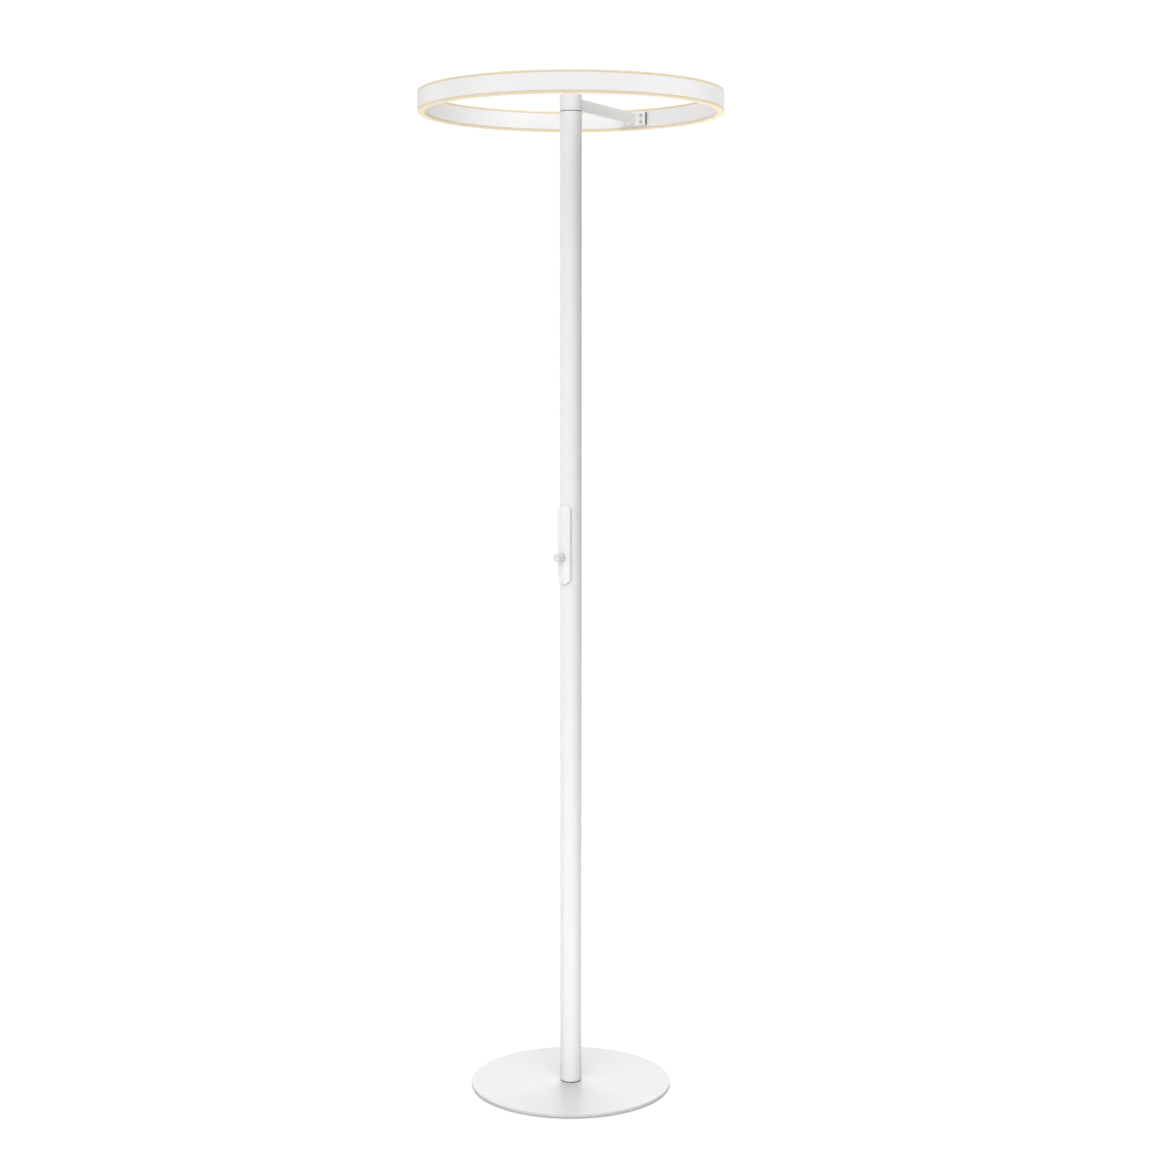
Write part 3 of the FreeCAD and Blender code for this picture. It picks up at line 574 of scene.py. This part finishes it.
def cable_sheath(name):
    """Soft white cable sheath with a slight waviness"""
    finish = Finish(name)
    cloud = finish.spread(finish.noise(size=0.02))
    finish.tones(cloud, dark=(0.74, 0.73, 0.7), light=(0.8, 0.79, 0.765))
    finish.roughness(finish.noise(size=0.005), low=0.4, high=0.54)
    finish.bump(finish.noise(size=0.003, stretch=(1, 1, 0.3)), depth=0.00004)
    return finish


def strip_mask(name):
    """White solder mask with darker pads along the strip"""
    finish = Finish(name)
    pads = finish.spread(finish.cells(size=0.006), source_low=0.1, source_high=0.2)
    finish.tones(pads, dark=(0.75, 0.55, 0.3), light=(0.83, 0.83, 0.8))
    finish.roughness(finish.noise(size=0.003), low=0.35, high=0.5)
    finish.bump(finish.cells(size=0.006), depth=0.00001)
    return finish


def phosphor(name):
    """Lit yellow phosphor of the light chips"""
    finish = Finish(name)
    grains = finish.cells(size=0.0003)
    finish.tones(grains, dark=(0.85, 0.66, 0.2), light=(0.95, 0.8, 0.4))
    finish.tones(grains, dark=(1.0, 0.8, 0.45), light=(1.0, 0.88, 0.62), target="Emission Color")
    glow = finish.spread(finish.noise(size=0.003), low=1.2, high=1.8)
    finish.link(glow, finish.shader.inputs["Emission Strength"])
    finish.roughness(grains, low=0.5, high=0.65)
    finish.bump(grains, depth=0.00002)
    return finish


# The lamp's white, and the share of it that each piece takes; the shares are painted shade and painted light, set
# so that each piece comes out at its own brightness under this studio's light
white = (0.772, 0.760, 0.750)
# Painted shade: the base's white is darkened against the strong light from above
base_white_painted_darker = shade(white, 0.755)
pole_white = shade(white, 0.91)
ring_white = shade(white, 0.96)
control_white = shade(white, 0.93)
knob_white = shade(white, 0.84)

# Moulded plastics: colour and roughness
plastics = {
    "white_control": (control_white, 0.4),
    "inlet_nylon": ((0.74, 0.735, 0.72), 0.5),
    "switch_plastic": ((0.05, 0.06, 0.085), 0.42),
    "connector_nylon": ((0.72, 0.71, 0.65), 0.48),
    "driver_shell": ((0.64, 0.64, 0.63), 0.5),
}

# Worked metals: colour, roughness, the size of their fine lines and the axis that these cross
metals = {
    "zinc_steel": ((0.6, 0.6, 0.58), 0.32, 0.0007, "DIAGONAL"),
    "turned_steel": ((0.5, 0.49, 0.48), 0.36, 0.0005, "Z"),
    "black_anodised": ((0.03, 0.03, 0.032), 0.4, 0.0004, "Z"),
    "dimmer_brass": ((0.72, 0.66, 0.5), 0.28, 0.0005, "Y"),
    "shaft_metal": ((0.74, 0.74, 0.745), 0.3, 0.0004, "Y"),
    "spring_steel": ((0.46, 0.46, 0.47), 0.25, 0.0006, "X"),
}

# The finish of each material slot
finishes = {
    "white_base": base_coat_with_painted_rim_shade("white_base", base_white_painted_darker),
    "white_pole": powder_coat("white_pole", pole_white),
    "white_ring": powder_coat("white_ring", ring_white),
    "white_knob": powder_coat("white_knob", knob_white, peel_size=0.0009, peel_depth=0.000006),
    "opal": lit_opal("opal"),
    "rubber_dark": rubber("rubber_dark"),
    "board_green": board("board_green"),
    "driver_components": electronic_parts("driver_components"),
    "lead_sheath": cable_sheath("lead_sheath"),
    "strip_white": strip_mask("strip_white"),
    "chip_phosphor": phosphor("chip_phosphor"),
}
for slot, look in plastics.items():
    finishes[slot] = moulded(slot, *look)
for slot, look in metals.items():
    finishes[slot] = worked_metal(slot, *look)

# Every node that no piece replaces shows the finish of its own slot
for subpart in frame["record"]["subparts"]:
    node = nodes[subpart["node"]]
    node.data.materials.clear()
    node.data.materials.append(finishes[subpart["material_slot"]].material)


# Base and pole


def base_disc():
    """The round steel disc, with countersunk holes for its screws"""
    disc = lathe("base_disc", rounded([
        (0, base_bottom, 0),
        (base_radius, base_bottom, base_edge_round),
        (base_radius, base_top, base_edge_round),
        (0, base_top, 0),
    ]), disc_segments)
    cutters = []
    for index in range(base_screw_count):
        angle = control_angle + full_turn * index / base_screw_count
        countersink = lathe("cutter", [
            (0, base_bottom - overrun),
            (base_screw_head_radius, base_bottom - overrun),
            (base_screw_head_radius, base_bottom),
            (base_screw_hole_radius, base_bottom + base_screw_head_height),
            (base_screw_hole_radius, base_top + overrun),
            (0, base_top + overrun),
        ], hole_segments)
        countersink.location = (base_screw_circle * cos(angle), base_screw_circle * sin(angle), 0)
        cutters.append(countersink)
    bpy.context.view_layer.update()
    dress(subtract(disc, cutters), "white_base", "root", "base_plate")


def head_screw_cutter(height):
    """A bar through the wall of the pole or the cap, for a grub screw"""
    direction = Vector((cos(head_screw_angle), sin(head_screw_angle), 0))
    start = Vector((0, 0, height)) + direction * (pole_radius / 2)
    return bar(start, start + direction * pole_radius, head_screw_hole_radius)


def pole():
    """The tube, with the slot behind the control, the cord's hole and the grub screw's hole"""
    tube = lathe("pole", rounded([
        (pole_inner_radius, pole_bottom, 0),
        (pole_radius, pole_bottom, pole_edge_round),
        (pole_radius, pole_top, pole_edge_round),
        (pole_inner_radius, pole_top, 0),
    ]), pole_segments)

    def slot_loop(distance):
        def place(across, up):
            return control_turn @ Vector((distance, across, pole_slot_middle + up))

        return frame_loop(pole_slot_width / 2, pole_slot_height / 2, pole_slot_corner, place)

    outside = pole_radius + overrun
    slot = stacked("cutter", [slot_loop(0), slot_loop(outside)])
    inlet = bar(Vector((0, 0, inlet_height)), Vector((0, outside, inlet_height)), inlet_hole_radius)
    screw = head_screw_cutter(pole_top - head_screw_drop)
    dress(subtract(tube, [slot, inlet, screw]), "white_pole", "root", "pole_tube")


# Head


def upright_loop(y, half_width, half_height, corner):
    """A rounded rectangle level with the band's middle, at a distance behind the pole's axis"""

    def place(across, up):
        return Vector((across, y, band_middle + up))

    return frame_loop(half_width, half_height, corner, place)


def arm_loop(y, margin=0.0):
    """The arm's outline at a distance behind the pole's axis, grown by a margin"""
    return upright_loop(y, arm_half_width + margin, arm_half_height + margin, arm_corner)


def cap():
    """The closed cap over the pole, with the arm's opening"""
    cap_inner = pole_radius - cap_wall
    shell = lathe("cap", rounded([
        (0, cap_top, 0),
        (pole_radius, cap_top, cap_edge_round),
        (pole_radius, cap_bottom, cap_lip_round),
        (cap_inner, cap_bottom, 0),
        (cap_inner, cap_top - cap_wall, 0),
        (0, cap_top - cap_wall, 0),
    ]), pole_segments)
    opening = stacked("cutter", [arm_loop(0, seat_gap), arm_loop(pole_radius + overrun, seat_gap)])
    screw = head_screw_cutter(cap_bottom + head_screw_rise)
    dress(subtract(shell, [opening, screw]), "white_pole", "root", "head_cap")


def arm():
    """The rectangular tube from the cap to the flange"""
    tube = stacked("arm", [arm_loop(arm_low.y), arm_loop(arm_high.y)])
    bore = stacked("cutter", [
        upright_loop(y, arm_half_width - arm_wall, arm_half_height - arm_wall, arm_bore_corner)
        for y in (arm_low.y - overrun, arm_high.y + overrun)
    ])
    # Painted light: the arm takes the full white, lighter than the pole's coat that it shares, so that its sides
    # come out brighter
    coat = powder_coat("white_arm", white)
    dress(subtract(tube, [bore]), "white_pole", "root", "support_arm", finish=coat)


def flange_screw_places():
    """The middle of each flange screw on the flange's face"""
    for side in (-1, 1):
        for rise in (-1, 1):
            height = band_middle + rise * flange_screw_rise
            yield Vector((side * flange_screw_reach, flange_low.y, height))


def fastening_cutters(start, end):
    """Cutters for the flange's screws and the lead, between two distances behind the pole's axis"""
    holes = [(place.x, place.z, flange_screw_radius + seat_gap) for place in flange_screw_places()]
    holes.append((0, band_middle - flange_screw_rise, lead_hole_radius))
    return [bar(Vector((x, start, z)), Vector((x, end, z)), radius) for x, z, radius in holes]


def flange():
    """The block between the arm and the ring, hollowed at the back to the ring's curve"""
    loops = []
    for step in range(round_steps, -1, -1):
        angle = right_angle * step / round_steps
        y = flange_low.y + flange_edge_round * (1 - sin(angle))
        inset = flange_edge_round * (1 - cos(angle))
        half_width, half_height = flange_half_width - inset, flange_half_height - inset
        loops.append(upright_loop(y, half_width, half_height, flange_corner))
    loops.append(upright_loop(ring_radius, flange_half_width, flange_half_height, flange_corner))
    block = stacked("flange", loops)
    back = lathe("cutter", [
        (flange_back, flange_low.z - overrun),
        (ring_radius + overrun, flange_low.z - overrun),
        (ring_radius + overrun, flange_high.z + overrun),
        (flange_back, flange_high.z + overrun),
    ], disc_segments)
    front = flange_low.y - overrun
    pocket_end = flange_low.y + flange_pocket
    pocket = stacked("cutter", [arm_loop(front, seat_gap), arm_loop(pocket_end, seat_gap)])
    cutters = [back, pocket, *fastening_cutters(front, ring_radius)]
    # Painted light: the flange's face takes the full white, lighter than the pole's coat that it shares
    coat = flange_coat_with_painted_side_shade("white_flange", white)
    dress(subtract(block, cutters), "white_pole", "root", "arm_flange", finish=coat)


def flange_screws():
    """Four button screws with hexagon sockets, joined into one piece"""
    screws_low, screws_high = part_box("flange_screws")
    head_top = screws_low.y
    head_height = flange_low.y - head_top
    length = screws_high.y - head_top
    socket_radius = flange_screw_socket / 2 / cos(pi / flange_screw_socket_sides)
    backward = Vector((0, 1, 0))
    bm = bmesh.new()
    for place in flange_screw_places():
        screw = lathe("screw", rounded([
            (0, 0, 0),
            (flange_screw_head_radius, 0, flange_screw_dome),
            (flange_screw_head_radius, head_height, 0),
            (flange_screw_radius, head_height, 0),
            (flange_screw_radius, length, flange_screw_tip_round),
            (0, length, 0),
        ]), hole_segments)
        head = Vector((place.x, head_top, place.z))
        screw.data.transform(Matrix.Translation(head) @ Matrix.Rotation(-right_angle, 4, "X"))
        socket_start = head - backward * overrun
        socket_end = head + backward * flange_screw_socket_depth
        socket = bar(socket_start, socket_end, socket_radius, flange_screw_socket_sides)
        bm.from_mesh(subtract(screw, [socket]).data)
        bpy.data.objects.remove(screw)
    dress(piece_from("flange_button_screws", bm), "zinc_steel", "root", "flange_screws")


# Light ring


def groove(wall_radius, outward_side, side, depth=groove_depth):
    """The snap groove in one wall's inner face, or the bead that snaps into it"""
    middle = band_middle + side * (band_half_height - groove_drop)
    half = side * groove_half_height
    return [
        (wall_radius, middle + half, 0),
        (wall_radius + outward_side * depth, middle, 0),
        (wall_radius, middle - half, 0),
    ]


def rolled(name, corners):
    """A section turned into a ring whose two ends meet behind the flange"""
    seam_angle = ring_seam / ring_inner_radius
    seam_end = right_angle + ring_seam_reach / ring_inner_radius + seam_angle / 2
    return lathe(name, rounded(corners), disc_segments, seam_end, full_turn - seam_angle)


def ring():
    """The H-shaped profile, with holes for the flange's screws, the lead and the feed"""
    rim_radius = ring_radius - ring_wall
    inner_rim_radius = ring_inner_radius + ring_wall
    edge = ring_edge_round
    corners = []
    for side in (1, -1):
        rim = band_middle + side * band_half_height
        web = band_middle + side * ring_web / 2
        half = [(ring_radius, rim, edge), (rim_radius, rim, edge)]
        half += groove(rim_radius, 1, side)
        half += [(rim_radius, web, edge), (inner_rim_radius, web, edge)]
        half += reversed(groove(inner_rim_radius, -1, side))
        half += [(inner_rim_radius, rim, edge), (ring_inner_radius, rim, edge)]
        corners += half if side > 0 else reversed(half)
    strip_radius = (ring_radius + ring_inner_radius) / 2

    def slot_loop(rise):
        def place(across, back):
            return Vector((across, strip_radius + back, band_middle + rise))

        return frame_loop(feed_slot_width / 2, feed_slot_depth / 2, feed_slot_corner, place)

    profile = rolled("ring", corners)
    feed_slot = stacked("cutter", [slot_loop(-ring_web), slot_loop(ring_web)])
    cutters = [*fastening_cutters(flange_low.y, strip_radius), feed_slot]
    dress(subtract(profile, cutters), "white_ring", "root", "ring_profile")


def diffuser(node, side):
    """The hollow opal strip above or below the band, with two legs between the band's walls"""
    rim = band_middle + side * band_half_height
    crown = level(node)[1] if side > 0 else level(node)[0]
    ceiling = crown - side * diffuser_wall
    leg_end = rim - side * diffuser_leg
    outside = ring_radius - diffuser_inset
    inside = ring_inner_radius + diffuser_inset
    leg_outside = ring_radius - ring_wall - seat_gap
    leg_inside = ring_inner_radius + ring_wall + seat_gap
    corners = [
        (outside, crown, diffuser_round),
        (outside, rim, 0),
        (leg_outside, rim, 0),
        *groove(leg_outside, 1, side, bead_height),
        (leg_outside, leg_end, 0),
        (leg_outside - diffuser_wall, leg_end, 0),
        (leg_outside - diffuser_wall, ceiling, 0),
        (leg_inside + diffuser_wall, ceiling, 0),
        (leg_inside + diffuser_wall, leg_end, 0),
        (leg_inside, leg_end, 0),
        *reversed(groove(leg_inside, -1, side, bead_height)),
        (leg_inside, rim, 0),
        (inside, rim, 0),
        (inside, crown, diffuser_round),
    ]
    dress(rolled(node + "_strip", corners), "opal", "root", node)


# Control


def knob():
    """The turned knob, hollow behind for the nut and bored for its shaft"""
    recess_end = knob_back + knob_recess_depth
    bore_end = knob_front - knob_end_wall
    body = lathe("knob", rounded([
        (knob_recess_radius, knob_back, 0),
        (knob_radius, knob_back, knob_back_round),
        (knob_radius, knob_front, knob_edge_round),
        (0, knob_front, 0),
        (0, bore_end, 0),
        (knob_bore_radius, bore_end, 0),
        (knob_bore_radius, recess_end, 0),
        (knob_recess_radius, recess_end, 0),
    ]), knob_segments)
    body.data.transform(knob_turn)
    screw_place = knob_turn @ Vector((0, 0, knob_front - knob_screw_back))
    hole_end = screw_place - Vector((0, 0, knob_radius + overrun))
    hole = bar(screw_place, hole_end, knob_screw_hole_radius)
    dress(subtract(body, [hole]), "white_knob", "knob", "dimmer_knob")


def return_spring():
    """The coil behind the switch's plunger, which the plunger presses together"""
    back, front = along_knob("return_spring")
    coil_radius = around_knob("return_spring") - spring_wire_radius
    start = back + spring_wire_radius
    rise = (front - back - 2 * spring_wire_radius) / (spring_turns * full_turn)
    loops = []
    for step in range(spring_turns * coil_segments + 1):
        angle = full_turn * step / coil_segments
        turn = Matrix.Rotation(angle, 3, "Z")
        middle = turn @ Vector((0, coil_radius, 0)) + Vector((0, 0, start + rise * angle))
        outward = turn @ Vector((0, spring_wire_radius, 0))
        along = turn @ Vector((-coil_radius, 0, rise))
        loops.append([middle + Matrix.Rotation(full_turn * side / wire_segments, 3, along) @ outward
                      for side in range(wire_segments)])
    coil = stacked("return_coil", loops)
    coil.data.transform(knob_turn)
    dress(coil, "spring_steel", "root", "return_spring")
    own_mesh(coil)


base_disc()
pole()
cap()
arm()
flange()
flange_screws()
ring()
diffuser("upper_diffuser", 1)
diffuser("lower_diffuser", -1)
knob()
return_spring()


# Camera, at the photograph's place

photo_side = 1170
photo_focal_pixels = 2015.24
photo_centre_x = 570.8
camera_distance = 3.62092
camera_height = 1.2994
camera_azimuth = radians(28)
camera_tilt = 0.1025
camera_far_end = 100.0
# In millimetres, as Blender takes it
sensor_width = 36.0


def in_photo(right, away, up):
    """A vector by its parts to the photograph's right, away from the camera and up"""
    return Vector((
        right * cos(camera_azimuth) - away * sin(camera_azimuth),
        right * sin(camera_azimuth) + away * cos(camera_azimuth),
        up,
    ))


lens = bpy.data.cameras.new("camera")
lens.sensor_width = sensor_width
lens.lens = photo_focal_pixels / photo_side * sensor_width
lens.shift_x = 1 / 2 - photo_centre_x / photo_side
lens.clip_end = camera_far_end
camera = bpy.data.objects.new("camera", lens)
camera.location = in_photo(0, -camera_distance, camera_height)
camera.rotation_euler = (right_angle - camera_tilt, 0, camera_azimuth)
scene.collection.objects.link(camera)
scene.camera = camera


# Studio

# Soft lobes of light, each by its middle, in degrees to the photograph's right of straight
# behind and degrees up, by the cosine that it begins at, and by its strength
air_lobes = (
    (0, 50, 0.8, 3.3),
    (180, 50, 0.8, 3.59),
    (-150, 20, 0.87, 1.0),
    (-120, 20, 0.87, 1.0),
    (-30, 20, 0.87, 0.39),
    (0, 20, 0.87, 0.7),
    (30, 20, 0.87, 0.86),
    (120, 20, 0.87, 0.46),
    (150, 20, 0.87, 1.0),
    (180, 20, 0.87, 1.0),
    (-120, -10, 0.87, 1.7),
    (-60, -10, 0.87, 2.84),
    (0, -10, 0.87, 1.03),
    (60, -10, 0.87, 0.29),
)
air_colour = (1, 1, 1, 1)
backdrop_strength = 1.05
floor_radius = 3.2
floor_segments = 96
floor_dark = (0.875, 0.875, 0.875)
floor_light = (0.885, 0.885, 0.885)
floor_roughness = 0.9
floor_specular = 0.1


def floor():
    """A plain pale floor, as bright as the backdrop"""
    bm = bmesh.new()
    bmesh.ops.create_circle(bm, cap_ends=True, segments=floor_segments, radius=floor_radius)
    sheet = piece_from("studio_floor", bm)
    finish = Finish("studio_floor")
    finish.tones(finish.noise(size=0.4), floor_dark, floor_light)
    finish.shader.inputs["Roughness"].default_value = floor_roughness
    finish.shader.inputs["Specular IOR Level"].default_value = floor_specular
    sheet.data.materials.append(finish.material)


def studio_air():
    """Soft white light from large panels all round, and a white backdrop"""
    world = bpy.data.worlds.new("studio")
    world.use_nodes = True
    scene.world = world
    tree = world.node_tree
    tree.nodes.clear()
    place = tree.nodes.new("ShaderNodeTexCoord")
    total = None
    for turn, rise, begins, strength in air_lobes:
        turn, rise = radians(turn), radians(rise)
        middle = in_photo(cos(rise) * sin(turn), cos(rise) * cos(turn), sin(rise))
        facing = tree.nodes.new("ShaderNodeVectorMath")
        facing.operation = "DOT_PRODUCT"
        facing.inputs[1].default_value = middle
        tree.links.new(place.outputs["Generated"], facing.inputs[0])
        lobe = tree.nodes.new("ShaderNodeMapRange")
        lobe.interpolation_type = "SMOOTHSTEP"
        lobe.inputs["From Min"].default_value = begins
        lobe.inputs["From Max"].default_value = 1.0
        lobe.inputs["To Max"].default_value = strength
        tree.links.new(facing.outputs["Value"], lobe.inputs["Value"])
        if total is None:
            total = lobe.outputs["Result"]
            continue
        added = tree.nodes.new("ShaderNodeMath")
        tree.links.new(total, added.inputs[0])
        tree.links.new(lobe.outputs["Result"], added.inputs[1])
        total = added.outputs["Value"]
    air = tree.nodes.new("ShaderNodeBackground")
    air.inputs["Color"].default_value = air_colour
    tree.links.new(total, air.inputs["Strength"])
    backdrop = tree.nodes.new("ShaderNodeBackground")
    backdrop.inputs["Color"].default_value = air_colour
    backdrop.inputs["Strength"].default_value = backdrop_strength
    seen = tree.nodes.new("ShaderNodeLightPath")
    mix = tree.nodes.new("ShaderNodeMixShader")
    tree.links.new(seen.outputs["Is Camera Ray"], mix.inputs["Fac"])
    tree.links.new(air.outputs["Background"], mix.inputs[1])
    tree.links.new(backdrop.outputs["Background"], mix.inputs[2])
    out = tree.nodes.new("ShaderNodeOutputWorld")
    tree.links.new(mix.outputs["Shader"], out.inputs["Surface"])


def soft_light(name, target, offset, size, spread, power):
    """A soft lamp that shines from an offset towards a target, over a spread of angles"""
    light = bpy.data.lights.new(name, "AREA")
    light.shape = "RECTANGLE"
    light.size, light.size_y = size
    light.spread = spread
    light.energy = power
    lamp = bpy.data.objects.new(name, light)
    lamp.location = target + offset
    lamp.rotation_euler = (-offset).to_track_quat("-Z", "Y").to_euler()
    scene.collection.objects.link(lamp)


floor()
studio_air()
soft_light(
    "band_fill",
    target=in_photo(0.25, -0.09, band_middle),
    offset=in_photo(1.35, -0.5, -0.75),
    size=(0.45, 0.1),
    spread=radians(9),
    power=0.124,
)
soft_light(
    "wall_fill",
    target=in_photo(-0.19, 0.16, band_middle),
    offset=in_photo(1.2, -0.7, 0.75),
    size=(0.35, 0.06),
    spread=radians(8),
    power=0.046,
)

scene.view_settings.view_transform = "Standard"
